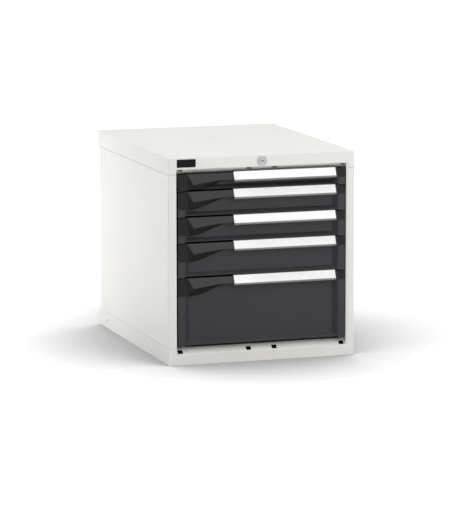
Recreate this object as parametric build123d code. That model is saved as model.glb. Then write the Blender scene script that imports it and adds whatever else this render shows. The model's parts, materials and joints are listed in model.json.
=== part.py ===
from build123d import *
import os
from math import atan2, cos, hypot, radians, sin

# Drawer cabinet in folded sheet steel: five drawers on telescopic runners and one central lock.
# X runs to the right seen from the front, Y runs to the back, Z is up, all in millimetres.
# The pieces are drawn with the front face on Y = 0 and are moved as the last step, so that the
# origin lies on the floor under the middle of the whole object, grips included.

# Cabinet
WIDTH = 564.0
DEPTH = 725.0
SHEET = 1.5
FOLD_RADIUS = 1.6
HEADROOM = 2.0
COVER_RIM = 1.0
BASE_RIM = 1.0
SEAM = 0.6
REAR_OVERHANG = 11.5
REAR_FLANGE = 20.0

# Jamb: the side panel's fold round the front edge
JAMB_FACE = 18.7
JAMB_CHAMFER_WIDTH = 6.0
JAMB_CHAMFER_DEPTH = 2.0
JAMB_RETURN = 18.0

# Bevels above and below the drawers, and the small slots in them
TOP_FACE_HEIGHT = 33.0
TOP_BEVEL_DEPTH = 19.0
TOP_BEVEL_DROP = 14.0
TOP_BEVEL_RETURN = 8.0
SILL_FACE_HEIGHT = 31.0
SILL_BEVEL_DEPTH = 20.0
SILL_BEVEL_RISE = 18.0
SLOT_WIDTH = 15.0
SLOT_LENGTH = 14.0
SLOT_FROM_FOLD = 3.6
SLOT_MIDDLE_SPACING = 78.0
SLOT_END_INSET = 4.4

# Small marks of the folded corners
FLAP_SEAM_WIDTH = 0.5
FLAP_SEAM_DEPTH = 0.35
FLAP_LENGTH = 42.0
FLAP_DROP = 32.0
CORNER_RELIEF_RADIUS = 2.3

# Floor flange and its anchor holes
FLOOR_FLANGE = 30.0
ANCHOR_HOLE_RADIUS = 4.5
ANCHOR_INSET_X = 17.0
ANCHOR_INSET_Y = 60.0
SKIRT_HOLE_RADIUS = 3.2
SKIRT_HOLE_FROM_REAR = 86.0
SKIRT_HOLE_Z = 25.0

# Uprights
UPRIGHT_DEPTH = 24.0
UPRIGHT_WIDTH = 21.5
UPRIGHT_LIP = 14.0
UPRIGHT_SHORT_LIP = 7.0
FRONT_UPRIGHT_Y = 45.0
REAR_UPRIGHT_FROM_REAR = 75.0
UPRIGHT_SLOT_PITCH = 25.0
UPRIGHT_SLOT_WIDTH = 4.0
UPRIGHT_SLOT_HEIGHT = 12.0
TAB_FROM_FRONT_OF_UPRIGHT = 12.5
TAB_THICKNESS = 1.9
TAB_HEIGHT = 13.6
TAB_REACH = 1.2
TAB_CLEARANCE = 0.3
TAB_LOW_Z = 73.0
TAB_BELOW_BAND = 23.5

# Back panel
BACK_CLEARANCE = 0.5
SCREW_RADIUS = 2.0
SCREW_HEAD_RADIUS = 4.0
SCREW_HEAD_HEIGHT = 2.2
SCREW_LENGTH = 8.0
SCREW_CLEARANCE = 0.2
SCREW_EDGE_INSET = 12.0
SCREW_END_INSET = 40.0
SCREWS_PER_SIDE = 4

# Drawers, from the top one down: the steps add up to the opening
SLIM_STEP = 50.0
LOW_STEP = 75.0
MEDIUM_STEP = 100.0
TALL_STEP = 200.0
DRAWER_RAISE = 0.7
DRAWER_GAP = 2.5
TRAVEL_SHORT_OF_BOX = 15.0

# Drawer front, a folded pan with a recessed panel
FRONT_SIDE_GAP = 4.0
FRONT_SHEET = 1.2
FRONT_THICKNESS = 20.0
FRONT_EDGE_RADIUS = 1.0
COLUMN_WIDTH = 21.0
RECESS_DEPTH = 12.0
RECESS_WALL_WIDTH = 13.5
LEDGE_RISE = 9.0
LEDGE_LIP = 1.5
MIDDLE_NOTCH = 4.5

# Drawer box
BOX_SHEET = 1.2
BOX_REAR_ROOM = 78.5
BOX_BOTTOM_GAP = 8.0
BOX_TOP_GAP = 7.0
BOX_HEM_HEIGHT = 7.0
BOX_HEM_THICKNESS = 2.4

# Grip profile across the top of each drawer front
GRIP_RISE = 4.9
GRIP_REACH = 12.0
GRIP_DROP = 22.2
GRIP_WALL = 1.8
GRIP_LIP_TOP = 0.7
GRIP_LIP_BOTTOM = 4.2
GRIP_GROOVE = 1.4
GRIP_CURL = 4.0
GRIP_LEG = 12.0
GRIP_END_GAP = 0.8
LABEL_THICKNESS = 0.4
LABEL_CLEARANCE = 0.15
COVER_THICKNESS = 0.7

# Left grip cap
CAP_RISE = 1.6
CAP_WIDTH = 166.0
CAP_FLAT_WIDTH = 27.0
CAP_HEIGHT = 50.6
CAP_CURVE_START = 32.0
CAP_CURVE_MIDDLE = 90.0
CAP_CURVE_MIDDLE_DROP = 37.0
CAP_RIDGE_START = 43.2
CAP_RIDGE_START_DROP = 28.5
CAP_RIDGE_MIDDLE = 98.0
CAP_RIDGE_MIDDLE_DROP = 21.0
CAP_END_DROP = 18.5
CAP_RIDGE_END_DROP = 17.6

# Right end cap
END_CAP_WIDTH = 29.5
END_CAP_HEIGHT = 25.0
END_CAP_CHEEK = 3.0

# Telescopic runners, by their distance inward from the cabinet's side
MEMBER_HEIGHT = 38.0
MEMBER_SHEET = 1.5
MEMBER_WIDTH = 12.0
MEMBER_PAST_UPRIGHT = 27.5
MEMBER_LEAD = 1.0
DRAWER_MEMBER_SETBACK = 2.0
DRAWER_MEMBER_SHORT_OF_BOX = 3.0
DRAWER_MEMBER_WIDTH = 12.4
CARRIAGE_GAP = 0.8
CARRIAGE_PLATE = 2.0
CARRIAGE_HEIGHT = 32.0
CARRIAGE_SHORT_OF_MEMBER = 22.0
RUNNER_CENTRE_RISE = 25.0
ROLLER_CLEARANCE = 0.3
ROLLER_WIDTH = 9.0
ROLLER_PIN_RADIUS = 3.0
ROLLER_BORE_CLEARANCE = 0.15
ROLLER_SIDE_GAP = 0.7
ROLLER_EDGE = 1.0
ROLLERS_PER_SIDE = 3
ROLLER_END_INSET = 20.0
PIN_FIT = 0.1
PIN_HEAD_RADIUS = 5.0
PIN_HEAD_THICKNESS = 0.8
PIN_HEAD_GAP = 0.2
HOOK_THICKNESS = 2.4
HOOK_HEIGHT = 9.0
HOOK_REACH = 2.4

# Lock
LOCK_BELOW_TOP = 17.0
ESCUTCHEON_RADIUS = 15.0
ESCUTCHEON_HEIGHT = 2.5
ESCUTCHEON_EDGE = 0.9
ESCUTCHEON_GROOVE_RADIUS = 10.5
ESCUTCHEON_GROOVE_WIDTH = 1.4
ESCUTCHEON_GROOVE_DEPTH = 0.8
LOCK_BODY_RADIUS = 11.0
LOCK_BODY_LENGTH = 20.0
LOCK_HOLE_CLEARANCE = 0.15
PLUG_RADIUS = 7.0
PLUG_PROUD = 0.5
PLUG_CLEARANCE = 0.15
PLUG_OVERRUN = 1.0
PLUG_TAIL = 6.0
KEYHOLE_LENGTH = 7.0
KEYHOLE_WIDTH = 2.6
KEYHOLE_DEPTH = 15.0
KEYHOLE_TILT = -20.0
NUT_ACROSS_FLATS = 26.0
NUT_HEIGHT = 5.0
CAM_RADIUS = 10.0
CAM_THICKNESS = 3.0
CAM_PIN_RADIUS = 2.5
CAM_PIN_LENGTH = 4.5
LOCK_TURN = 90.0
LOCK_DROP = 10.0

# Lock bar
BAR_THICKNESS = 2.5
BAR_GAP = 1.2
BAR_ARM_HEIGHT = 14.0
BAR_STRIP_DEPTH = 14.8
BAR_STRIP_FROM_SIDE = 25.5
BAR_FOOT_RISE = 13.0
BAR_END_MARGIN = 5.0
BAR_SLOT_CLEARANCE = 0.4
BAR_HOOK_WIDTH = 6.5
BAR_HOOK_HEIGHT = 8.0
BAR_HOOK_SETBACK = 2.8
LUG_HEIGHT = 14.0
LUG_CLEARANCE = 2.0
LUG_FROM_SIDE = 30.5
LUG_THICKNESS = 2.5
LUG_Y_GAP = 2.5
GUIDE_HEIGHT = 15.0
GUIDE_WALL = 1.5
GUIDE_CLEARANCE = 0.3
GUIDE_GRIP = 4.0

# Name plate
PLATE_WIDTH = 56.0
PLATE_HEIGHT = 23.0
PLATE_THICKNESS = 1.2
PLATE_RADIUS = 1.8
PLATE_FROM_SIDE = 26.0
PLATE_FROM_TOP = 4.7

# Places that follow from the sizes
DRAWER_STEPS = [SLIM_STEP, LOW_STEP, LOW_STEP, MEDIUM_STEP, TALL_STEP]
HALF = WIDTH / 2
FLOOR_Z = SILL_FACE_HEIGHT + SILL_BEVEL_RISE
BASE_BAND = FLOOR_Z + BASE_RIM
OPENING_TOP_Z = BASE_BAND + sum(DRAWER_STEPS)
COVER_SEAM_Z = OPENING_TOP_Z + HEADROOM
TOP_FOLD_Z = COVER_SEAM_Z + COVER_RIM + TOP_BEVEL_DROP
HEIGHT = TOP_FOLD_Z + TOP_FACE_HEIGHT
JAMB_WIDTH = JAMB_FACE + JAMB_CHAMFER_WIDTH
OPENING_HALF = HALF - JAMB_WIDTH
SIDE_REAR_Y = DEPTH - REAR_OVERHANG
REAR_UPRIGHT_Y = SIDE_REAR_Y - REAR_UPRIGHT_FROM_REAR
UPRIGHT_Y = [FRONT_UPRIGHT_Y, REAR_UPRIGHT_Y]
FRONT_HALF = OPENING_HALF - FRONT_SIDE_GAP
BOX_REAR_Y = SIDE_REAR_Y - BOX_REAR_ROOM
DRAWER_TRAVEL = BOX_REAR_Y - FRONT_THICKNESS - TRAVEL_SHORT_OF_BOX

# Lanes beside the drawers, as distances inward from the cabinet's side
UPRIGHT_LANE = SHEET + UPRIGHT_WIDTH
MEMBER_LANE = UPRIGHT_LANE + MEMBER_WIDTH
CARRIAGE_OUTER = MEMBER_LANE + CARRIAGE_GAP
CARRIAGE_INNER = CARRIAGE_OUTER + CARRIAGE_PLATE
DRAWER_MEMBER_LANE = CARRIAGE_INNER + CARRIAGE_GAP
BOX_LANE = DRAWER_MEMBER_LANE + DRAWER_MEMBER_WIDTH
MEMBER_FRONT_Y = FRONT_UPRIGHT_Y - MEMBER_LEAD
MEMBER_REAR_Y = REAR_UPRIGHT_Y + UPRIGHT_DEPTH + MEMBER_PAST_UPRIGHT
CARRIAGE_REAR_Y = MEMBER_REAR_Y - CARRIAGE_SHORT_OF_MEMBER
ROLLER_RADIUS = MEMBER_HEIGHT / 2 - MEMBER_SHEET - ROLLER_CLEARANCE
DRAWER_MEMBER_REAR_Y = BOX_REAR_Y - DRAWER_MEMBER_SHORT_OF_BOX

# With the drawer fully out, the inner rollers still lie inside the drawer member
ROLLER_RUN = DRAWER_MEMBER_REAR_Y - MEMBER_FRONT_Y - DRAWER_TRAVEL / 2 - 2 * ROLLER_END_INSET
ROLLER_SPACING = ROLLER_RUN / (ROLLERS_PER_SIDE - 1)

# The grip's slanted face and the reach of everything in front of Y = 0
GRIP_SLOPE = GRIP_REACH / (GRIP_RISE + GRIP_DROP)
GRIP_ANGLE = atan2(GRIP_REACH, GRIP_RISE + GRIP_DROP)
GRIP_FACE = hypot(GRIP_REACH, GRIP_RISE + GRIP_DROP)
OVERALL_REACH = max(GRIP_REACH, GRIP_SLOPE * (CAP_RISE + CAP_RIDGE_START_DROP))
FRONT_Y = OVERALL_REACH - (DEPTH + OVERALL_REACH) / 2

# The lock's parts, one behind the other
LOCK_Z = HEIGHT - LOCK_BELOW_TOP
CAM_Y = LOCK_BODY_LENGTH + PLUG_OVERRUN
BAR_Y = CAM_Y + CAM_THICKNESS + BAR_GAP
PIN_THROW = LOCK_DROP / 2 / sin(radians(LOCK_TURN / 2))
PIN_X = PIN_THROW * cos(radians(LOCK_TURN / 2))
PIN_Z = LOCK_Z + LOCK_DROP / 2
HOOK_Y = BAR_Y + BAR_HOOK_SETBACK
LUG_Y = HOOK_Y + BAR_THICKNESS + LUG_Y_GAP


def block(x0, x1, y0, y1, z0, z1):
    """A box between two opposite corners."""
    return Pos((x0 + x1) / 2, (y0 + y1) / 2, (z0 + z1) / 2) * Box(x1 - x0, y1 - y0, z1 - z0)


def rod_x(y, z, radius, x0, x1):
    """A round rod along X."""
    return Pos((x0 + x1) / 2, y, z) * Rot(0, 90, 0) * Cylinder(radius, x1 - x0)


def rod_y(x, z, radius, y0, y1):
    """A round rod along Y."""
    return Pos(x, (y0 + y1) / 2, z) * Rot(90, 0, 0) * Cylinder(radius, y1 - y0)


def prism_x(outline, x0, x1):
    """An outline of (y, z) points drawn out along X."""
    return extrude(Plane.YZ.offset(x0) * Polygon(*outline, align=None), amount=x1 - x0, dir=(1, 0, 0))


def prism_y(outline, y0, y1):
    """An outline of (x, z) points drawn out along Y."""
    return extrude(Plane.XZ.offset(-y0) * Polygon(*outline, align=None), amount=y1 - y0, dir=(0, 1, 0))


def prism_z(outline, z0, z1):
    """An outline of (x, y) points drawn out along Z."""
    return extrude(Plane.XY.offset(z0) * Polygon(*outline, align=None), amount=z1 - z0, dir=(0, 0, 1))


def folded(path, thickness):
    """The closed outline of a sheet bent along an open path, thick to the left of the path."""
    normals = []
    for (ax, ay), (bx, by) in zip(path, path[1:]):
        run = hypot(bx - ax, by - ay)
        normals.append((-(by - ay) / run, (bx - ax) / run))
    back = []
    for i, (px, py) in enumerate(path):
        before = normals[max(i - 1, 0)]
        after = normals[min(i, len(normals) - 1)]
        spread = 1 + before[0] * after[0] + before[1] * after[1]
        back.append((px + thickness * (before[0] + after[0]) / spread,
                     py + thickness * (before[1] + after[1]) / spread))
    return path + back[::-1]


def both_sides(shape):
    """The left piece with its mirror image on the right."""
    return [shape, mirror(shape, about=Plane.YZ)]


def upright_edges(shape, x, y):
    """The vertical edges of a shape that stand at one place."""
    return [e for e in shape.edges().filter_by(Axis.Z)
            if hypot(e.center().X - x, e.center().Y - y) < SEAM / 10]


def save(name, *shapes):
    """Moves one node's solids into the part's frame and writes them."""
    solids = [solid for shape in shapes for solid in shape.solids()]
    placed = [Pos(0, FRONT_Y, 0) * solid for solid in solids]
    export_step(placed[0] if len(placed) == 1 else Compound(children=placed), f"parts/{name}.step")


def drawer_levels():
    """The nominal bottom and top of each drawer, from the top one down."""
    levels = []
    top = OPENING_TOP_Z
    for step in DRAWER_STEPS:
        levels.append((top - step, top))
        top -= step
    return levels


# Shells of the cabinet

def jamb_path():
    """The left jamb seen from above, from the end of its return to the cabinet's corner."""
    return [(-HALF + JAMB_WIDTH, JAMB_RETURN), (-HALF + JAMB_WIDTH, JAMB_CHAMFER_DEPTH),
            (-HALF + JAMB_FACE, 0), (-HALF, 0)]


def jamb_corners(z0, z1):
    """The short pieces of both jambs that belong to the cover or the base."""
    return both_sides(prism_z(folded(jamb_path(), -SHEET), z0, z1))


def front_cut(z0, z1, y1):
    """Clears the front between the two jamb faces."""
    return block(-HALF + JAMB_FACE, HALF - JAMB_FACE, -SHEET, y1, z0, z1)


def bevel_slots(fold_z, depth, rise):
    """The four small slots through a bevel that starts at the fold on the front face."""
    run = hypot(depth, rise)
    along = (depth / run, rise / run)
    across = (-along[1], along[0])
    corners = []
    for s, n in [(SLOT_FROM_FOLD, -1), (SLOT_FROM_FOLD, 1),
                 (SLOT_FROM_FOLD + SLOT_LENGTH, 1), (SLOT_FROM_FOLD + SLOT_LENGTH, -1)]:
        reach = n * 2 * SHEET
        corners.append((s * along[0] + reach * across[0], fold_z + s * along[1] + reach * across[1]))
    end_x = OPENING_HALF - SLOT_END_INSET - SLOT_WIDTH / 2
    middle_x = SLOT_MIDDLE_SPACING / 2
    return [prism_x(corners, x - SLOT_WIDTH / 2, x + SLOT_WIDTH / 2)
            for x in (-end_x, -middle_x, middle_x, end_x)]


def flap_seams():
    """The faint diagonal seams of the folded corners, on both ends of both sides."""
    run = hypot(FLAP_LENGTH, FLAP_DROP)
    wide = (FLAP_SEAM_WIDTH * FLAP_DROP / run, FLAP_SEAM_WIDTH * FLAP_LENGTH / run)
    seams = []
    for start, way in ((0, 1), (DEPTH, -1)):
        end_y = start + way * FLAP_LENGTH
        low = HEIGHT - FLAP_DROP
        outline = [(start, HEIGHT), (end_y, low), (end_y - way * wide[0], low - wide[1]),
                   (start - way * wide[0], HEIGHT - wide[1])]
        seams += both_sides(prism_x(outline, -HALF - FLAP_SEAM_DEPTH, -HALF + FLAP_SEAM_DEPTH))
    return seams


def corner_reliefs(z, *rows):
    """Small bites at the sharp corners where three folds meet."""
    return [Pos(side * HALF, y, z) * Sphere(CORNER_RELIEF_RADIUS) for side in (-1, 1) for y in rows]


def top_cover():
    """A tray upside down: plate, skirts, front face and the bevel above the drawers."""
    shell = block(-HALF, HALF, 0, DEPTH, COVER_SEAM_Z, HEIGHT)
    shell = fillet(shell.edges().filter_by(Axis.Z) + shell.edges().group_by(Axis.Z)[-1], FOLD_RADIUS)
    shell -= block(-HALF + SHEET, HALF - SHEET, SHEET, DEPTH - SHEET, COVER_SEAM_Z - SHEET, HEIGHT - SHEET)
    shell -= front_cut(COVER_SEAM_Z - SHEET, TOP_FOLD_Z, 2 * SHEET)
    for corner in jamb_corners(COVER_SEAM_Z, TOP_FOLD_Z + SHEET):
        shell += corner
    bevel_z = TOP_FOLD_Z - TOP_BEVEL_DROP
    bevel = [(0, TOP_FOLD_Z + SHEET), (0, TOP_FOLD_Z), (TOP_BEVEL_DEPTH, bevel_z),
             (TOP_BEVEL_DEPTH, bevel_z + TOP_BEVEL_RETURN)]
    shell += prism_x(folded(bevel, SHEET), -OPENING_HALF, OPENING_HALF)
    shell += block(-HALF + SHEET, HALF - SHEET, SIDE_REAR_Y + SEAM, DEPTH, COVER_SEAM_Z, COVER_SEAM_Z + SHEET)
    for cut in bevel_slots(TOP_FOLD_Z, TOP_BEVEL_DEPTH, -TOP_BEVEL_DROP) + flap_seams():
        shell -= cut
    for bite in corner_reliefs(HEIGHT, 0, DEPTH):
        shell -= bite
    shell -= rod_y(0, LOCK_Z, LOCK_BODY_RADIUS + LOCK_HOLE_CLEARANCE, -SHEET, 2 * SHEET)
    return shell


def base_plinth():
    """A tray with its floor at the top, the bevel below the drawers and a flange on the floor."""
    shell = block(-HALF, HALF, 0, DEPTH, 0, BASE_BAND)
    shell = fillet(shell.edges().filter_by(Axis.Z) + shell.edges().group_by(Axis.Z)[0], FOLD_RADIUS)
    shell -= block(-HALF + SHEET, HALF - SHEET, SHEET, DEPTH - SHEET, SHEET, FLOOR_Z - SHEET)
    shell -= block(-HALF + SHEET, HALF - SHEET, SHEET, DEPTH - SHEET, FLOOR_Z, BASE_BAND + SHEET)
    window = HALF - FLOOR_FLANGE
    shell -= block(-window, window, FLOOR_FLANGE, DEPTH - FLOOR_FLANGE, -SHEET, 2 * SHEET)
    shell -= front_cut(SILL_FACE_HEIGHT, BASE_BAND + SHEET, SILL_BEVEL_DEPTH)
    for corner in jamb_corners(SILL_FACE_HEIGHT - SHEET, BASE_BAND):
        shell += corner
    bevel = [(0, SILL_FACE_HEIGHT - SHEET), (0, SILL_FACE_HEIGHT), (SILL_BEVEL_DEPTH, FLOOR_Z),
             (SILL_BEVEL_DEPTH + SHEET, FLOOR_Z)]
    shell += prism_x(folded(bevel, -SHEET), -OPENING_HALF, OPENING_HALF)
    for cut in bevel_slots(SILL_FACE_HEIGHT, SILL_BEVEL_DEPTH, SILL_BEVEL_RISE):
        shell -= cut
    for bite in corner_reliefs(0, 0):
        shell -= bite
    for side in (-1, 1):
        for y in (ANCHOR_INSET_Y, DEPTH - ANCHOR_INSET_Y):
            shell -= Pos(side * (HALF - ANCHOR_INSET_X), y, 0) * Cylinder(ANCHOR_HOLE_RADIUS, 4 * SHEET)
        x = side * (HALF - SHEET / 2)
        y = DEPTH - SKIRT_HOLE_FROM_REAR
        shell -= rod_x(y, SKIRT_HOLE_Z, SKIRT_HOLE_RADIUS, x - SHEET, x + SHEET)
    return shell


def tab_heights():
    """The heights of the upright tabs that show in the side panels."""
    return [TAB_LOW_Z, COVER_SEAM_Z - TAB_BELOW_BAND]


def left_side_panel():
    """A side sheet folded round the front as the jamb and round the rear as a flange."""
    path = jamb_path() + [(-HALF, SIDE_REAR_Y), (-HALF + REAR_FLANGE, SIDE_REAR_Y)]
    panel = prism_z(folded(path, -SHEET), BASE_BAND + SEAM, COVER_SEAM_Z - SEAM)
    corners = upright_edges(panel, -HALF, 0) + upright_edges(panel, -HALF, SIDE_REAR_Y)
    panel = fillet(corners, FOLD_RADIUS)
    wide = TAB_THICKNESS / 2 + TAB_CLEARANCE
    high = TAB_HEIGHT / 2 + TAB_CLEARANCE
    for upright_y in UPRIGHT_Y:
        y = upright_y + TAB_FROM_FRONT_OF_UPRIGHT
        for z in tab_heights():
            panel -= block(-HALF - SHEET, -HALF + 2 * SHEET, y - wide, y + wide, z - high, z + high)
    for z in screw_heights():
        panel -= rod_y(-HALF + SCREW_EDGE_INSET, z, SCREW_RADIUS + SCREW_CLEARANCE,
                       SIDE_REAR_Y - 2 * SHEET, SIDE_REAR_Y + SHEET)
    return panel


def screw_heights():
    """The heights of the back panel's screws, evenly spaced."""
    low = BASE_BAND + SCREW_END_INSET
    high = COVER_SEAM_Z - SCREW_END_INSET
    return [low + (high - low) * i / (SCREWS_PER_SIDE - 1) for i in range(SCREWS_PER_SIDE)]


def back_panel():
    """A flat sheet in front of the side panels' rear flanges, standing on the base."""
    rear = SIDE_REAR_Y - SHEET
    half = HALF - SHEET - BACK_CLEARANCE
    panel = block(-half, half, rear - SHEET, rear, FLOOR_Z, HEIGHT - SHEET - BACK_CLEARANCE)
    for side in (-1, 1):
        for z in screw_heights():
            panel -= rod_y(side * (HALF - SCREW_EDGE_INSET), z, SCREW_RADIUS + SCREW_CLEARANCE,
                           rear - 2 * SHEET, rear + SHEET)
    return panel


def back_screws():
    """Pan-head screws through the rear flanges and the back panel."""
    screws = []
    for side in (-1, 1):
        x = side * (HALF - SCREW_EDGE_INSET)
        for z in screw_heights():
            head = rod_y(x, z, SCREW_HEAD_RADIUS, SIDE_REAR_Y, SIDE_REAR_Y + SCREW_HEAD_HEIGHT)
            head = fillet(head.edges().group_by(Axis.Y)[-1], SCREW_HEAD_HEIGHT / 2)
            slot_y = SIDE_REAR_Y + SCREW_HEAD_HEIGHT / 2
            for wide, high in ((SCREW_RADIUS, SCREW_CLEARANCE), (SCREW_CLEARANCE, SCREW_RADIUS)):
                head -= block(x - wide, x + wide, slot_y, slot_y + SCREW_HEAD_HEIGHT, z - high, z + high)
            screws.append(head + rod_y(x, z, SCREW_RADIUS, SIDE_REAR_Y - SCREW_LENGTH, SIDE_REAR_Y))
    return screws


def left_upright(y0):
    """A slotted C section between the base's floor and the cover's plate."""
    side_x = -HALF + SHEET
    web_x = -HALF + UPRIGHT_LANE
    y1 = y0 + UPRIGHT_DEPTH
    path = [(side_x, y0 + UPRIGHT_LIP), (side_x, y0), (web_x, y0), (web_x, y1), (side_x, y1),
            (side_x, y1 - UPRIGHT_SHORT_LIP)]
    upright = prism_z(folded(path, SHEET), FLOOR_Z, HEIGHT - SHEET)
    y = y0 + UPRIGHT_DEPTH / 2
    wide = UPRIGHT_SLOT_WIDTH / 2
    high = UPRIGHT_SLOT_HEIGHT / 2
    z = BASE_BAND + UPRIGHT_SLOT_PITCH
    while z < COVER_SEAM_Z - UPRIGHT_SLOT_HEIGHT:
        upright -= block(web_x - 2 * SHEET, web_x + SHEET, y - wide, y + wide, z - high, z + high)
        z += UPRIGHT_SLOT_PITCH
    y = y0 + TAB_FROM_FRONT_OF_UPRIGHT
    for z in tab_heights():
        upright += block(side_x - TAB_REACH, side_x + SHEET, y - TAB_THICKNESS / 2, y + TAB_THICKNESS / 2,
                         z - TAB_HEIGHT / 2, z + TAB_HEIGHT / 2)
    return upright


def bar_guide(z):
    """A forked ear on the right front upright that holds the lock bar's rear edge."""
    bar_out = HALF - BAR_STRIP_FROM_SIDE
    bar_in = bar_out - BAR_THICKNESS
    rear = BAR_Y + BAR_STRIP_DEPTH
    seat = rear + GUIDE_CLEARANCE
    z0, z1 = z - GUIDE_HEIGHT / 2, z + GUIDE_HEIGHT / 2
    inner = bar_in - GUIDE_CLEARANCE
    outer = bar_out + GUIDE_CLEARANCE
    ear = block(inner - GUIDE_WALL, outer + GUIDE_WALL, rear - GUIDE_GRIP, FRONT_UPRIGHT_Y, z0, z1)
    ear -= block(inner, outer, rear - 2 * GUIDE_GRIP, seat, z0 - SHEET, z1 + SHEET)
    foot_x = HALF - UPRIGHT_LANE + 2 * SHEET
    return ear + block(inner, foot_x, FRONT_UPRIGHT_Y - SHEET, FRONT_UPRIGHT_Y, z0, z1)


def front_uprights():
    """Both front uprights; the right one carries the two guides of the lock bar."""
    left, right = both_sides(left_upright(FRONT_UPRIGHT_Y))
    centres = [runner_z(level) for level in drawer_levels()]
    for pair in (centres[:2], centres[-2:]):
        right += bar_guide(sum(pair) / 2)
    return [left, right]


# Telescopic runners

def runner_z(level):
    """The height of a runner's centre line above the foot of its drawer."""
    return level[0] + RUNNER_CENTRE_RISE


def left_cabinet_member(level):
    """A channel open towards the drawer, hooked into the slots of both uprights."""
    z = runner_z(level)
    web_x = -HALF + UPRIGHT_LANE
    open_x = -HALF + MEMBER_LANE
    high = MEMBER_HEIGHT / 2
    path = [(open_x, z + high), (web_x, z + high), (web_x, z - high), (open_x, z - high)]
    member = prism_y(folded(path, MEMBER_SHEET), MEMBER_FRONT_Y, MEMBER_REAR_Y)
    thick = HOOK_THICKNESS / 2
    for upright_y in UPRIGHT_Y:
        y = upright_y + UPRIGHT_DEPTH / 2
        member += block(web_x - HOOK_REACH, web_x + MEMBER_SHEET, y - thick, y + thick,
                        z - HOOK_HEIGHT / 2, z + HOOK_HEIGHT / 2)
    return member


def roller_places():
    """The rollers' places along the carriage, as (y, outward): outward ones run in the fixed member."""
    places = []
    for i in range(ROLLERS_PER_SIDE):
        places.append((CARRIAGE_REAR_Y - ROLLER_END_INSET - i * ROLLER_SPACING, True))
        places.append((MEMBER_FRONT_Y + ROLLER_END_INSET + i * ROLLER_SPACING, False))
    return places


def left_carriage(level):
    """The middle plate of a runner, the pins riveted into it and the rollers on them."""
    z = runner_z(level)
    plate_out = -HALF + CARRIAGE_OUTER
    plate_in = -HALF + CARRIAGE_INNER
    high = CARRIAGE_HEIGHT / 2
    plate = block(plate_out, plate_in, MEMBER_FRONT_Y, CARRIAGE_REAR_Y, z - high, z + high)
    pins = []
    rollers = []
    for y, outward in roller_places():
        way = -1 if outward else 1
        face = plate_out if outward else plate_in
        near = face + way * ROLLER_SIDE_GAP
        far = near + way * ROLLER_WIDTH
        head = far + way * PIN_HEAD_GAP
        tip = head + way * PIN_HEAD_THICKNESS
        back = face - way * CARRIAGE_PLATE
        pin = rod_x(y, z, ROLLER_PIN_RADIUS, min(back, tip), max(back, tip))
        pins.append(pin + rod_x(y, z, PIN_HEAD_RADIUS, min(head, tip), max(head, tip)))
        plate -= rod_x(y, z, ROLLER_PIN_RADIUS + PIN_FIT, plate_out - SHEET, plate_in + SHEET)
        x0, x1 = min(near, far), max(near, far)
        roller = rod_x(y, z, ROLLER_RADIUS, x0, x1)
        roller = chamfer(roller.edges().filter_by(GeomType.CIRCLE), ROLLER_EDGE)
        bore = rod_x(y, z, ROLLER_PIN_RADIUS + ROLLER_BORE_CLEARANCE, x0 - ROLLER_EDGE, x1 + ROLLER_EDGE)
        rollers.append(roller - bore)
    return [plate] + pins + rollers


def left_drawer_member(level):
    """A channel on the drawer box, open towards the carriage."""
    z = runner_z(level)
    web_x = -HALF + BOX_LANE
    open_x = -HALF + DRAWER_MEMBER_LANE
    high = MEMBER_HEIGHT / 2
    path = [(open_x, z + high), (web_x, z + high), (web_x, z - high), (open_x, z - high)]
    return prism_y(folded(path, -MEMBER_SHEET), FRONT_THICKNESS + DRAWER_MEMBER_SETBACK, DRAWER_MEMBER_REAR_Y)


def drawer_members(level):
    """Both drawer members, and on the right one the lug that the lock bar's hook holds."""
    z = runner_z(level)
    lug = block(HALF - BOX_LANE + MEMBER_SHEET, HALF - LUG_FROM_SIDE, LUG_Y, LUG_Y + LUG_THICKNESS,
                z - LUG_HEIGHT / 2, z + LUG_HEIGHT / 2)
    return both_sides(left_drawer_member(level)) + [lug]


# Drawers

def front_span(level):
    """The bottom and top of a drawer's front."""
    return level[0] + DRAWER_RAISE + DRAWER_GAP, level[1] + DRAWER_RAISE


def below_ledge(z0):
    """Everything under the slanted ledge of the recess, between the two columns."""
    lip_z = z0 + MIDDLE_NOTCH + LEDGE_LIP
    front_y = -2 * OVERALL_REACH
    low = z0 - BASE_BAND
    outline = [(front_y, low), (front_y, lip_z), (0, lip_z)]
    outline += [(RECESS_DEPTH, lip_z + LEDGE_RISE), (RECESS_DEPTH, low)]
    inner = FRONT_HALF - COLUMN_WIDTH
    return prism_x(outline, -inner, inner)


def recess(z0, z1, grow):
    """The hollow of a drawer front: slanted side walls, slanted ledge, open at the top."""
    lean = RECESS_WALL_WIDTH / RECESS_DEPTH
    back_y = RECESS_DEPTH + grow
    half = FRONT_HALF - COLUMN_WIDTH + grow * hypot(1, lean)
    front_y = -FRONT_THICKNESS
    sides = [(-half + lean * front_y, front_y), (half - lean * front_y, front_y),
             (half - lean * back_y, back_y), (-half + lean * back_y, back_y)]
    rise = LEDGE_RISE / RECESS_DEPTH
    lip_z = z0 + MIDDLE_NOTCH + LEDGE_LIP - grow * hypot(1, rise)
    top = z1 + FRONT_THICKNESS
    slope = [(y, lip_z + rise * y) for y in (front_y, back_y)] + [(back_y, top), (front_y, top)]
    return prism_z(sides, z0 - FRONT_THICKNESS, top) & prism_x(slope, -HALF, HALF)


def cap_room(z0, z1, width):
    """The room of the left grip cap, down to the ledge where the front is low."""
    left = -FRONT_HALF
    low = max(z0, z1 - CAP_HEIGHT)
    room = block(left, left + width, -2 * OVERALL_REACH, RECESS_DEPTH, low, z1 + BASE_BAND)
    return room - below_ledge(z0)


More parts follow.
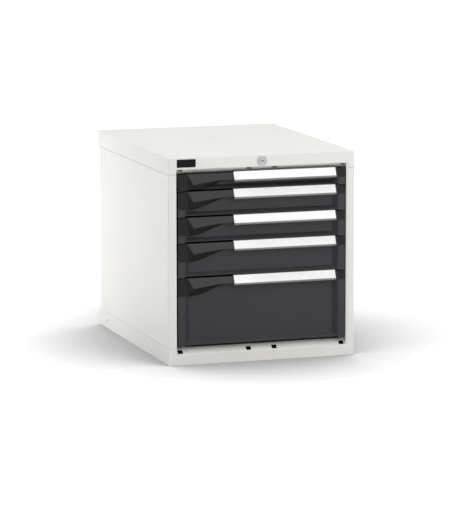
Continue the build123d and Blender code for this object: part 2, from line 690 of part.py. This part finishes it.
def drawer_front(level):
    """A folded pan: two flush columns, a recessed panel between them and a slanted ledge."""
    z0, z1 = front_span(level)
    sheet = FRONT_SHEET
    pan = block(-FRONT_HALF, FRONT_HALF, 0, FRONT_THICKNESS, z0, z1)
    pan = fillet(pan.edges().group_by(Axis.Y)[0], FRONT_EDGE_RADIUS)
    inner = FRONT_HALF - COLUMN_WIDTH
    far_y = FRONT_THICKNESS + sheet
    pan -= block(-inner, inner, -sheet, far_y, z0 - sheet, z0 + MIDDLE_NOTCH)
    pan -= recess(z0, z1, 0)
    hollow = block(-FRONT_HALF + sheet, FRONT_HALF - sheet, sheet, far_y, z0 + sheet, z1 - sheet)
    hollow -= block(-inner - sheet, inner + sheet, 0, far_y + sheet, z0, z0 + MIDDLE_NOTCH + sheet)
    hollow -= recess(z0, z1, sheet)
    pan -= hollow
    wall_width = COLUMN_WIDTH + RECESS_WALL_WIDTH + sheet
    pan -= cap_room(z0, z1, wall_width)
    seat_y = RECESS_DEPTH + sheet
    low = max(z0, z1 - CAP_HEIGHT)
    pan += block(-FRONT_HALF, -FRONT_HALF + wall_width, RECESS_DEPTH, seat_y, low, z1)
    low = z1 - END_CAP_HEIGHT
    pan -= block(FRONT_HALF - wall_width, FRONT_HALF, -sheet, RECESS_DEPTH, low, z1 + sheet)
    pan += block(FRONT_HALF - wall_width, FRONT_HALF, RECESS_DEPTH, seat_y, low, z1)

    # Welded from two columns, two slanted walls, the panel and the ledge below it
    wall_x = inner - RECESS_WALL_WIDTH
    between = block(-inner, inner, -sheet, far_y, z0 - sheet, z1 + sheet)
    middle = block(-wall_x, wall_x, -sheet, far_y, z0 - sheet, z1 + sheet)
    ahead = block(-wall_x, wall_x, -sheet, RECESS_DEPTH, z0 - sheet, z1 + sheet)
    return [pan - between, (pan & between) - middle, (pan & middle) - ahead, pan & ahead]


def hemmed_wall(face, way, z0, z1):
    """The section of a box wall: its outer face, which way is inward, and a doubled hem at the top."""
    sheet = face + way * BOX_SHEET
    hem = face + way * BOX_HEM_THICKNESS
    fold = z1 - BOX_HEM_HEIGHT
    return [(face, z0), (face, z1), (hem, z1), (hem, fold), (sheet, fold), (sheet, z0)]


def drawer_box(level):
    """An open tray welded from a floor sheet and four walls with doubled hems."""
    half = HALF - BOX_LANE
    z0 = level[0] + BOX_BOTTOM_GAP
    z1 = level[1] - BOX_TOP_GAP
    y0 = FRONT_THICKNESS
    floor = block(-half, half, y0, BOX_REAR_Y, z0, z0 + BOX_SHEET)
    sides = both_sides(prism_y(hemmed_wall(-half, 1, z0 + BOX_SHEET, z1), y0, BOX_REAR_Y))
    inner = half - BOX_SHEET
    ends = [prism_x(hemmed_wall(face, way, z0 + BOX_SHEET, z1), -inner, inner) - sides
            for face, way in ((y0, 1), (BOX_REAR_Y, -1))]
    return [floor] + sides + ends


def grip_point(s, n, top):
    """A point of the grip's section: s down its slanted face, n out of it."""
    return (-s * sin(GRIP_ANGLE) - n * cos(GRIP_ANGLE), top - s * cos(GRIP_ANGLE) + n * sin(GRIP_ANGLE))


def grip_ends():
    """The left and right end of the grip profile, between its two caps."""
    return -FRONT_HALF + CAP_WIDTH + GRIP_END_GAP, FRONT_HALF - END_CAP_WIDTH - GRIP_END_GAP


def grip_profile(level):
    """An extruded profile: fixing leg, top, slanted wall with a groove for the label, curled edge."""
    top = front_span(level)[1] + GRIP_RISE
    back = -GRIP_GROOVE - GRIP_WALL
    bend = (GRIP_WALL + back * sin(GRIP_ANGLE)) / cos(GRIP_ANGLE)
    outline = [(0, top), (RECESS_DEPTH, top), (RECESS_DEPTH, top - GRIP_LEG),
               (RECESS_DEPTH - GRIP_WALL, top - GRIP_LEG), (RECESS_DEPTH - GRIP_WALL, top - GRIP_WALL)]
    curl = GRIP_FACE - GRIP_WALL
    lip = GRIP_FACE - GRIP_LIP_BOTTOM
    for s, n in [(bend, back), (curl, back), (curl, back - GRIP_CURL), (GRIP_FACE, back - GRIP_CURL),
                 (GRIP_FACE, 0), (lip, 0), (lip, -GRIP_GROOVE),
                 (GRIP_LIP_TOP, -GRIP_GROOVE), (GRIP_LIP_TOP, 0)]:
        outline.append(grip_point(s, n, top))
    return prism_x(outline, *grip_ends())


def label_strip(level, inner, thickness):
    """A strip in the grip's groove, from a depth in the groove outward."""
    top = front_span(level)[1] + GRIP_RISE
    s0 = GRIP_LIP_TOP + LABEL_CLEARANCE
    s1 = GRIP_FACE - GRIP_LIP_BOTTOM - LABEL_CLEARANCE
    outline = [grip_point(s, n, top) for s, n in
               ((s0, inner), (s1, inner), (s1, inner + thickness), (s0, inner + thickness))]
    left, right = grip_ends()
    return prism_x(outline, left + LABEL_CLEARANCE, right - LABEL_CLEARANCE)


def grip_cap(level):
    """The left cap: a flush block with a wedge that runs into the grip's slanted face."""
    z0, z1 = front_span(level)
    left = -FRONT_HALF

    def flush(x, drop):
        return Vector(left + x, 0, z1 - drop)

    def on_face(x, drop):
        return Vector(left + x, -GRIP_SLOPE * (drop + CAP_RISE), z1 - drop)

    top_left = flush(CAP_FLAT_WIDTH, -CAP_RISE)
    top_right = flush(CAP_WIDTH, -CAP_RISE)
    low_left = flush(CAP_CURVE_START, CAP_HEIGHT)
    low_right = flush(CAP_WIDTH, CAP_END_DROP)
    ridge_left = on_face(CAP_RIDGE_START, CAP_RIDGE_START_DROP)
    ridge_right = on_face(CAP_WIDTH, CAP_RIDGE_END_DROP)
    ridge = Spline(ridge_left, on_face(CAP_RIDGE_MIDDLE, CAP_RIDGE_MIDDLE_DROP), ridge_right).edge()
    curve = Spline(low_left, flush(CAP_CURVE_MIDDLE, CAP_CURVE_MIDDLE_DROP), low_right,
                   tangents=[(1, 0, 0), (1, 0, 0)]).edge()

    # The plate behind the wedge, with the same curved lower edge
    straight = Polyline(low_right, top_right, top_left, flush(COLUMN_WIDTH, 0), flush(0, 0),
                        flush(0, CAP_HEIGHT), low_left)
    plate = extrude(Face(Wire([curve] + straight.edges())), amount=RECESS_DEPTH, dir=(0, 1, 0))

    # The wedge: facet, rear, right end, flank facing left, and the hollowed underside
    top_line = Edge.make_line(top_right, top_left)
    facet = Face(Wire([ridge, Edge.make_line(ridge_right, top_right), top_line,
                       Edge.make_line(top_left, ridge_left)]))
    rear = Face(Wire([curve, Edge.make_line(low_right, top_right), top_line,
                      Edge.make_line(top_left, low_left)]))
    end = Face(Wire.make_polygon([top_right, ridge_right, low_right], close=True))
    flank = Face(Wire.make_polygon([top_left, ridge_left, low_left], close=True))
    underside = Face.make_surface_from_curves(ridge, curve)
    wedge = Solid(Shell([facet, rear, end, flank, underside]))
    return (plate + wedge) & cap_room(z0, z1, CAP_WIDTH)


def end_cap(level):
    """The right cap: a flush block, and a cheek that closes the grip's end."""
    z1 = front_span(level)[1]
    low = z1 - END_CAP_HEIGHT
    left = FRONT_HALF - END_CAP_WIDTH
    column = FRONT_HALF - COLUMN_WIDTH
    top = z1 + GRIP_RISE
    cap = block(left, FRONT_HALF, 0, RECESS_DEPTH, low, z1)
    cap += block(left, column, 0, RECESS_DEPTH, z1, z1 + CAP_RISE)
    tip_z = z1 - GRIP_DROP
    cheek = [(RECESS_DEPTH, top), (0, top), (-GRIP_REACH, tip_z), (-GRIP_REACH, low), (RECESS_DEPTH, low)]
    return cap + prism_x(cheek, left, left + END_CAP_CHEEK)


# Lock

def lock_housing():
    """A tube through the cover's face with a round escutcheon in front."""
    flange = rod_y(0, LOCK_Z, ESCUTCHEON_RADIUS, -ESCUTCHEON_HEIGHT, 0)
    flange = fillet(flange.edges().group_by(Axis.Y)[0], ESCUTCHEON_EDGE)
    groove_in = ESCUTCHEON_GROOVE_RADIUS - ESCUTCHEON_GROOVE_WIDTH
    bottom = -ESCUTCHEON_HEIGHT + ESCUTCHEON_GROOVE_DEPTH
    groove = rod_y(0, LOCK_Z, ESCUTCHEON_GROOVE_RADIUS, -2 * ESCUTCHEON_HEIGHT, bottom)
    flange -= groove - rod_y(0, LOCK_Z, groove_in, -2 * ESCUTCHEON_HEIGHT, bottom)
    housing = flange + rod_y(0, LOCK_Z, LOCK_BODY_RADIUS, 0, LOCK_BODY_LENGTH)
    bore_radius = PLUG_RADIUS + PLUG_CLEARANCE
    return housing - rod_y(0, LOCK_Z, bore_radius, -2 * ESCUTCHEON_HEIGHT, 2 * LOCK_BODY_LENGTH)


def lock_nut():
    """A flat hexagon nut behind the cover's face."""
    hexagon = RegularPolygon(NUT_ACROSS_FLATS / 2, 6, major_radius=False)
    nut = extrude(Plane.XZ.offset(-SHEET) * Pos(0, LOCK_Z) * hexagon, amount=NUT_HEIGHT, dir=(0, 1, 0))
    return nut - rod_y(0, LOCK_Z, LOCK_BODY_RADIUS + LOCK_HOLE_CLEARANCE, 0, NUT_HEIGHT + 2 * SHEET)


def lock_plug():
    """The turning plug with its keyhole, and a square tail for the cam."""
    front = -ESCUTCHEON_HEIGHT - PLUG_PROUD
    plug = rod_y(0, LOCK_Z, PLUG_RADIUS, front, CAM_Y)
    tail = PLUG_TAIL / 2
    plug += block(-tail, tail, CAM_Y, CAM_Y + CAM_THICKNESS, LOCK_Z - tail, LOCK_Z + tail)
    keyhole = Box(KEYHOLE_LENGTH, 2 * KEYHOLE_DEPTH, KEYHOLE_WIDTH)
    return plug - Pos(0, front, LOCK_Z) * Rot(0, -KEYHOLE_TILT, 0) * keyhole


def lock_cam():
    """A disc on the plug's tail with the pin that lifts and drops the lock bar."""
    tail = PLUG_TAIL / 2 + PLUG_CLEARANCE
    cam = rod_y(0, LOCK_Z, CAM_RADIUS, CAM_Y, CAM_Y + CAM_THICKNESS)
    cam -= block(-tail, tail, CAM_Y - SHEET, CAM_Y + CAM_THICKNESS + SHEET, LOCK_Z - tail, LOCK_Z + tail)
    return cam + rod_y(PIN_X, PIN_Z, CAM_PIN_RADIUS, CAM_Y, CAM_Y + CAM_THICKNESS + CAM_PIN_LENGTH)


def lock_bar():
    """An arm behind the cover's face, a strip beside the drawers and a welded hook for each."""
    out_x = HALF - BAR_STRIP_FROM_SIDE
    in_x = out_x - BAR_THICKNESS
    room = CAM_PIN_RADIUS + BAR_SLOT_CLEARANCE
    slot_left = PIN_X - room
    slot_right = PIN_THROW + room
    top = PIN_Z + BAR_ARM_HEIGHT / 2
    bar = block(slot_left - BAR_END_MARGIN, out_x, BAR_Y, BAR_Y + BAR_THICKNESS, top - BAR_ARM_HEIGHT, top)
    bar -= block(slot_left, slot_right, BAR_Y - SHEET, BAR_Y + 2 * BAR_THICKNESS, PIN_Z - room, PIN_Z + room)
    bar += block(in_x, out_x, BAR_Y, BAR_Y + BAR_STRIP_DEPTH, FLOOR_Z + BAR_FOOT_RISE, top)
    hooks = []
    for level in drawer_levels():
        low = runner_z(level) + LUG_HEIGHT / 2 + LUG_CLEARANCE
        hooks.append(block(in_x - BAR_HOOK_WIDTH, in_x, HOOK_Y, HOOK_Y + BAR_THICKNESS,
                           low, low + BAR_HOOK_HEIGHT))
    return [bar] + hooks


def nameplate():
    """A bare plate with rounded corners at the left of the cover's face."""
    x = -HALF + PLATE_FROM_SIDE
    top = HEIGHT - PLATE_FROM_TOP
    plate = block(x, x + PLATE_WIDTH, -PLATE_THICKNESS, 0, top - PLATE_HEIGHT, top)
    plate = fillet(plate.edges().filter_by(Axis.Y), PLATE_RADIUS)
    return chamfer(plate.edges().group_by(Axis.Y)[0], PLATE_THICKNESS / 3)


os.makedirs("parts", exist_ok=True)

save("top_cover", top_cover())
save("base_plinth", base_plinth())
for side, panel in zip(("left", "right"), both_sides(left_side_panel())):
    save(f"side_panel_{side}", panel)
save("back_panel", back_panel())
save("back_panel_screws", *back_screws())
save("uprights_front", *front_uprights())
save("uprights_rear", *both_sides(left_upright(REAR_UPRIGHT_Y)))
save("cabinet_runners", *[m for level in drawer_levels() for m in both_sides(left_cabinet_member(level))])
save("lock_housing", lock_housing())
save("lock_nut", lock_nut())
save("lock_plug", lock_plug())
save("lock_cam", lock_cam())
save("lock_bar", *lock_bar())
save("nameplate", nameplate())

for number, level in enumerate(drawer_levels(), 1):
    name = f"drawer_{number}"
    save(f"{name}_front", *drawer_front(level))
    save(f"{name}_box", *drawer_box(level))
    save(f"{name}_runners", *drawer_members(level))
    save(f"{name}_carriages", *[mirrored for piece in left_carriage(level) for mirrored in both_sides(piece)])
    save(f"{name}_grip", grip_profile(level))
    save(f"{name}_label", label_strip(level, -GRIP_GROOVE, LABEL_THICKNESS))
    save(f"{name}_label_cover", label_strip(level, -GRIP_GROOVE + LABEL_THICKNESS, COVER_THICKNESS))
    save(f"{name}_grip_cap", grip_cap(level))
    save(f"{name}_end_cap", end_cap(level))
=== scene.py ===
import json
from math import pi, radians

import bpy
from mathutils import Matrix, Vector

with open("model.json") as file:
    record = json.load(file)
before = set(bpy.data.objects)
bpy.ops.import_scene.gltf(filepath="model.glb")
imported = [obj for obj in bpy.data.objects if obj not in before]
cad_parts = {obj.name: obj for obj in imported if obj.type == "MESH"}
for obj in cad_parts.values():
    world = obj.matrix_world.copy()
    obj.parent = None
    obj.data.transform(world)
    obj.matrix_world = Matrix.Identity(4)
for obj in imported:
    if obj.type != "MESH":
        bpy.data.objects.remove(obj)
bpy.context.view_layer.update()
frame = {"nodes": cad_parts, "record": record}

# Camera: its place in metres in the cabinet's frame, where it looks in degrees, and its lens in millimetres
CAMERA_PLACE = (-2.8647, -8.7665, 1.7191)
CAMERA_YAW = 18.166
CAMERA_PITCH = 9.036
CAMERA_ROLL = -0.064
LENS = 219.83
SENSOR = 36.0

# Sky and sun: their light in units of a white card's brightness, and how wide the sun is in degrees
SKY_LEVEL = 0.05
SUN_LEVEL = 1.07
SUN_ANGLE = 103.0
SUN_HEIGHT = 5.0

# Square softboxes: name, watts, place, the point it faces, and the length of its side
SOFTBOXES = [
    ("key", 33.0, (0.95, -2.80, 1.95), (0.0, -0.36, 0.35), 1.4),
    ("right", 24.0, (2.60, -3.20, 1.10), (0.1, -0.36, 0.35), 1.6),
    ("left_rear", 7.2, (-1.1, 0.75, 0.35), (-0.28, 0.37, 0.30), 0.8),
]

# Floor: its grey as it throws light back, its grey as seen, and a painted contact shadow that deepens the
# seen grey within a reach of the object
FLOOR_BOUNCE = 0.92
FLOOR_SHADE = 0.78
FLOOR_LIFT = 0.20
FLOOR_RADIUS = 60.0
FLOOR_EDGES = 96
PAINTED_SHADOW_REACH = 0.8
PAINTED_SHADOW_POWER = 1.2
PAINTED_SHADOW_SAMPLES = 16

# Noise: the part of its range that is spread out, and the rays that round an edge
NOISE_LOW = 0.3
NOISE_HIGH = 0.7
EDGE_SAMPLES = 6


# Node helpers

def add(tree, kind, inputs=None, **settings):
    """A new shader node: its settings by attribute, its inputs by name or number, from a value or a link."""
    node = tree.nodes.new("ShaderNode" + kind)
    for name, value in settings.items():
        setattr(node, name, value)
    for name, value in (inputs or {}).items():
        if isinstance(value, bpy.types.NodeSocket):
            tree.links.new(value, node.inputs[name])
        else:
            node.inputs[name].default_value = value
    return node


def maths(tree, operation, first, second, **settings):
    """One operation on two values."""
    return add(tree, "Math", {0: first, 1: second}, operation=operation, **settings).outputs["Value"]


def noise(tree, scale, detail, stretch=(1.0, 1.0, 1.0)):
    """Noise in the piece's own metres, drawn out along an axis by a small stretch factor."""
    place = add(tree, "TexCoord").outputs["Object"]
    spread = add(tree, "Mapping", {"Vector": place, "Scale": stretch}).outputs["Vector"]
    return add(tree, "TexNoise", {"Vector": spread, "Scale": scale, "Detail": detail}).outputs["Fac"]


def span(tree, value, low, high):
    """Spreads the middle of a noise over a range of numbers."""
    inputs = {"Value": value, "From Min": NOISE_LOW, "From Max": NOISE_HIGH, "To Min": low, "To Max": high}
    return add(tree, "MapRange", inputs).outputs["Result"]


def tint(tree, value, first, second):
    """Blends two colours by a noise."""
    ramp = add(tree, "ValToRGB", {"Fac": value})
    ramp.color_ramp.elements[0].position = NOISE_LOW
    ramp.color_ramp.elements[1].position = NOISE_HIGH
    ramp.color_ramp.elements[0].color = (*first, 1.0)
    ramp.color_ramp.elements[1].color = (*second, 1.0)
    return ramp.outputs["Color"]


def relief(tree, height, distance, edge=0.0006):
    """A bump of a given height in metres, over edges that read as slightly rounded."""
    soft = add(tree, "Bevel", {"Radius": edge}, samples=EDGE_SAMPLES).outputs["Normal"]
    return add(tree, "Bump", {"Height": height, "Distance": distance, "Normal": soft}).outputs["Normal"]


def finish(name, **constants):
    """A new material, its node tree and its shader, with the shader's fixed values set."""
    made = bpy.data.materials.new(name)
    made.use_nodes = True
    shader = made.node_tree.nodes["Principled BSDF"]
    for socket, value in constants.items():
        shader.inputs[socket.replace("_", " ")].default_value = value
    return made, made.node_tree, shader


def join(tree, shader, **sources):
    """Links node outputs to the shader's sockets."""
    for socket, source in sources.items():
        tree.links.new(source, shader.inputs[socket.replace("_", " ")])


# Materials, one for each slot of the record

def body_enamel():
    """Warm white powder coat: a fine orange peel and a very slight cloudiness."""
    made, tree, shader = finish("body_enamel", Specular_IOR_Level=0.35)
    cloud = noise(tree, 3.5, 2.0)
    peel = noise(tree, 900.0, 2.0)
    join(tree, shader, Base_Color=tint(tree, cloud, (0.578, 0.571, 0.551), (0.598, 0.591, 0.572)),
         Roughness=span(tree, peel, 0.42, 0.54), Normal=relief(tree, peel, 0.00006))
    return made


def drawer_enamel():
    """Anthracite powder coat: a fine grain and a faint cloudiness."""
    made, tree, shader = finish("drawer_enamel", Specular_IOR_Level=0.35)
    cloud = noise(tree, 9.0, 4.0)
    grain = noise(tree, 1400.0, 2.0)
    join(tree, shader, Base_Color=tint(tree, cloud, (0.0142, 0.0142, 0.0168), (0.0166, 0.0165, 0.0194)),
         Roughness=span(tree, grain, 0.46, 0.62), Normal=relief(tree, grain, 0.00008))
    return made


def grip_aluminium():
    """Grey anodised extrusion with fine draw lines along its length."""
    made, tree, shader = finish("grip_aluminium", Specular_IOR_Level=0.35)
    lines = noise(tree, 1600.0, 2.0, (0.01, 1.0, 1.0))
    join(tree, shader, Base_Color=tint(tree, lines, (0.13, 0.13, 0.132), (0.17, 0.17, 0.172)),
         Roughness=span(tree, lines, 0.45, 0.60), Normal=relief(tree, lines, 0.00004, 0.0003))
    return made


def label_card():
    """White card with a slight fibre."""
    made, tree, shader = finish("label_card", Specular_IOR_Level=0.2)
    fibre = noise(tree, 700.0, 5.0, (0.4, 1.0, 1.0))
    join(tree, shader, Base_Color=tint(tree, fibre, (0.975, 0.975, 0.970), (0.990, 0.990, 0.985)),
         Roughness=span(tree, fibre, 0.7, 0.85), Normal=relief(tree, fibre, 0.00003, 0.0001))
    return made


def clear_cover():
    """Thin clear strip: nearly see-through, with a gloss that waves a little."""
    made, tree, shader = finish("clear_cover", Base_Color=(0.95, 0.96, 0.97, 1.0), Alpha=0.02)
    wave = noise(tree, 60.0, 2.0, (0.2, 1.0, 1.0))
    join(tree, shader, Roughness=span(tree, wave, 0.05, 0.10), Normal=relief(tree, wave, 0.0002, 0.0002))
    return made


def black_plastic():
    """Moulded plastic with a fine spark-eroded grain."""
    made, tree, shader = finish("black_plastic", Specular_IOR_Level=0.2)
    cloud = noise(tree, 20.0, 3.0)
    grain = noise(tree, 2600.0, 2.0)
    join(tree, shader, Base_Color=tint(tree, cloud, (0.0030, 0.0031, 0.0029), (0.0042, 0.0043, 0.0041)),
         Roughness=span(tree, grain, 0.34, 0.46), Normal=relief(tree, grain, 0.00006, 0.0010))
    return made


def black_gloss():
    """Smooth black plate with faint handling haze."""
    made, tree, shader = finish("black_gloss", Specular_IOR_Level=0.12)
    haze = noise(tree, 160.0, 4.0)
    join(tree, shader, Base_Color=tint(tree, haze, (0.0020, 0.0020, 0.0022), (0.0032, 0.0032, 0.0034)),
         Roughness=span(tree, haze, 0.22, 0.34), Normal=relief(tree, haze, 0.00002, 0.0003))
    return made


def zinc_steel():
    """Zinc-plated steel with the soft mottling of the plating."""
    made, tree, shader = finish("zinc_steel", Metallic=1.0)
    mottle = noise(tree, 70.0, 5.0)
    fine = noise(tree, 1100.0, 2.0)
    join(tree, shader, Base_Color=tint(tree, mottle, (0.52, 0.53, 0.55), (0.66, 0.67, 0.69)),
         Roughness=span(tree, fine, 0.30, 0.44), Normal=relief(tree, fine, 0.00003, 0.0004))
    return made


def lock_chrome():
    """Satin chrome, lightly turned."""
    made, tree, shader = finish("lock_chrome", Metallic=1.0)
    fine = noise(tree, 1800.0, 2.0)
    join(tree, shader, Base_Color=tint(tree, fine, (0.36, 0.36, 0.365), (0.46, 0.46, 0.465)),
         Roughness=span(tree, fine, 0.20, 0.30), Normal=relief(tree, fine, 0.00002, 0.0004))
    return made


MAKERS = [body_enamel, drawer_enamel, grip_aluminium, label_card, clear_cover, black_plastic, black_gloss,
          zinc_steel, lock_chrome]
MATERIALS = {maker.__name__: maker() for maker in MAKERS}


def dress_nodes():
    """Gives every CAD node the finish of its slot in the record."""
    for subpart in frame["record"]["subparts"]:
        node = frame["nodes"][subpart["node"]]
        for place in node.material_slots:
            place.material = MATERIALS[subpart["material_slot"]]


# Stage

def seen_directly(tree):
    """1 for rays from the camera, from gloss and through clear pieces, else 0."""
    rays = add(tree, "LightPath").outputs
    first = maths(tree, "ADD", rays["Is Camera Ray"], rays["Is Glossy Ray"], use_clamp=True)
    return maths(tree, "ADD", first, rays["Is Transmission Ray"], use_clamp=True)


def show(tree, output, lit, seen):
    """Sends one shader to the rays that light things and another to those that see them."""
    mix = add(tree, "MixShader", {"Fac": seen_directly(tree), 1: lit, 2: seen})
    add(tree, output, {"Surface": mix.outputs["Shader"]})


def make_world():
    """A plain grey sky that lights the object, seen as white."""
    world = bpy.data.worlds.new("studio")
    bpy.context.scene.world = world
    world.use_nodes = True
    tree = world.node_tree
    tree.nodes.clear()
    lit = add(tree, "Background", {"Color": (SKY_LEVEL, SKY_LEVEL, SKY_LEVEL, 1.0)})
    seen = add(tree, "Background", {"Color": (1.0, 1.0, 1.0, 1.0)})
    show(tree, "OutputWorld", lit.outputs["Background"], seen.outputs["Background"])


def make_floor():
    """A large plain disc: pale to the camera, with a soft contact shadow cast by the lamps and deepened by a
    shadow painted from ambient occlusion, and evenly pale to other light.
    """
    bpy.ops.mesh.primitive_circle_add(vertices=FLOOR_EDGES, radius=FLOOR_RADIUS, fill_type="NGON",
                                      location=(0, 0, 0))
    floor = bpy.context.object
    floor.name = "floor"
    made = bpy.data.materials.new("floor")
    made.use_nodes = True
    tree = made.node_tree
    tree.nodes.clear()
    plain = add(tree, "BsdfDiffuse", {"Color": (FLOOR_BOUNCE, FLOOR_BOUNCE, FLOOR_BOUNCE, 1.0)})
    reach = {"Distance": PAINTED_SHADOW_REACH}
    # Painted shadow: ambient occlusion darkens the seen floor near the object, its white and its lift alike,
    # on top of the shadows the lamps cast.
    open_sky = add(tree, "AmbientOcclusion", reach, samples=PAINTED_SHADOW_SAMPLES).outputs["AO"]
    painted_contact_shadow = maths(tree, "POWER", open_sky, PAINTED_SHADOW_POWER)
    white = add(tree, "BsdfDiffuse", {"Color": maths(tree, "MULTIPLY", painted_contact_shadow, FLOOR_SHADE)})
    lift = add(tree, "Emission", {"Strength": maths(tree, "MULTIPLY", painted_contact_shadow, FLOOR_LIFT)})
    pale = add(tree, "AddShader", {0: white.outputs["BSDF"], 1: lift.outputs["Emission"]})
    show(tree, "OutputMaterial", plain.outputs["BSDF"], pale.outputs["Shader"])
    floor.data.materials.append(made)


def lamp(name, kind, energy, place, target):
    """A lamp that faces a point."""
    data = bpy.data.lights.new(name, kind)
    data.energy = energy
    made = bpy.data.objects.new(name, data)
    made.location = place
    made.rotation_euler = (Vector(target) - Vector(place)).to_track_quat("-Z", "Y").to_euler()
    bpy.context.collection.objects.link(made)
    return data


def make_lights():
    """A very soft sun overhead and three square softboxes round the object."""
    lamp("sun", "SUN", SUN_LEVEL * pi, (0, 0, SUN_HEIGHT), (0, 0, 0)).angle = radians(SUN_ANGLE)
    for name, power, place, target, side in SOFTBOXES:
        lamp(name, "AREA", power, place, target).size = side


def make_camera():
    """The photograph's view: yaw to the right, pitch down."""
    data = bpy.data.cameras.new("camera")
    data.lens = LENS
    data.sensor_width = SENSOR
    data.clip_end = 4 * FLOOR_RADIUS
    camera = bpy.data.objects.new("camera", data)
    yaw = Matrix.Rotation(radians(-CAMERA_YAW), 4, "Z")
    pitch = Matrix.Rotation(radians(90 - CAMERA_PITCH), 4, "X")
    roll = Matrix.Rotation(radians(CAMERA_ROLL), 4, "Z")
    camera.matrix_world = Matrix.Translation(CAMERA_PLACE) @ yaw @ pitch @ roll
    bpy.context.collection.objects.link(camera)
    bpy.context.scene.camera = camera


dress_nodes()
make_world()
make_floor()
make_lights()
make_camera()
bpy.context.scene.view_settings.view_transform = "Standard"
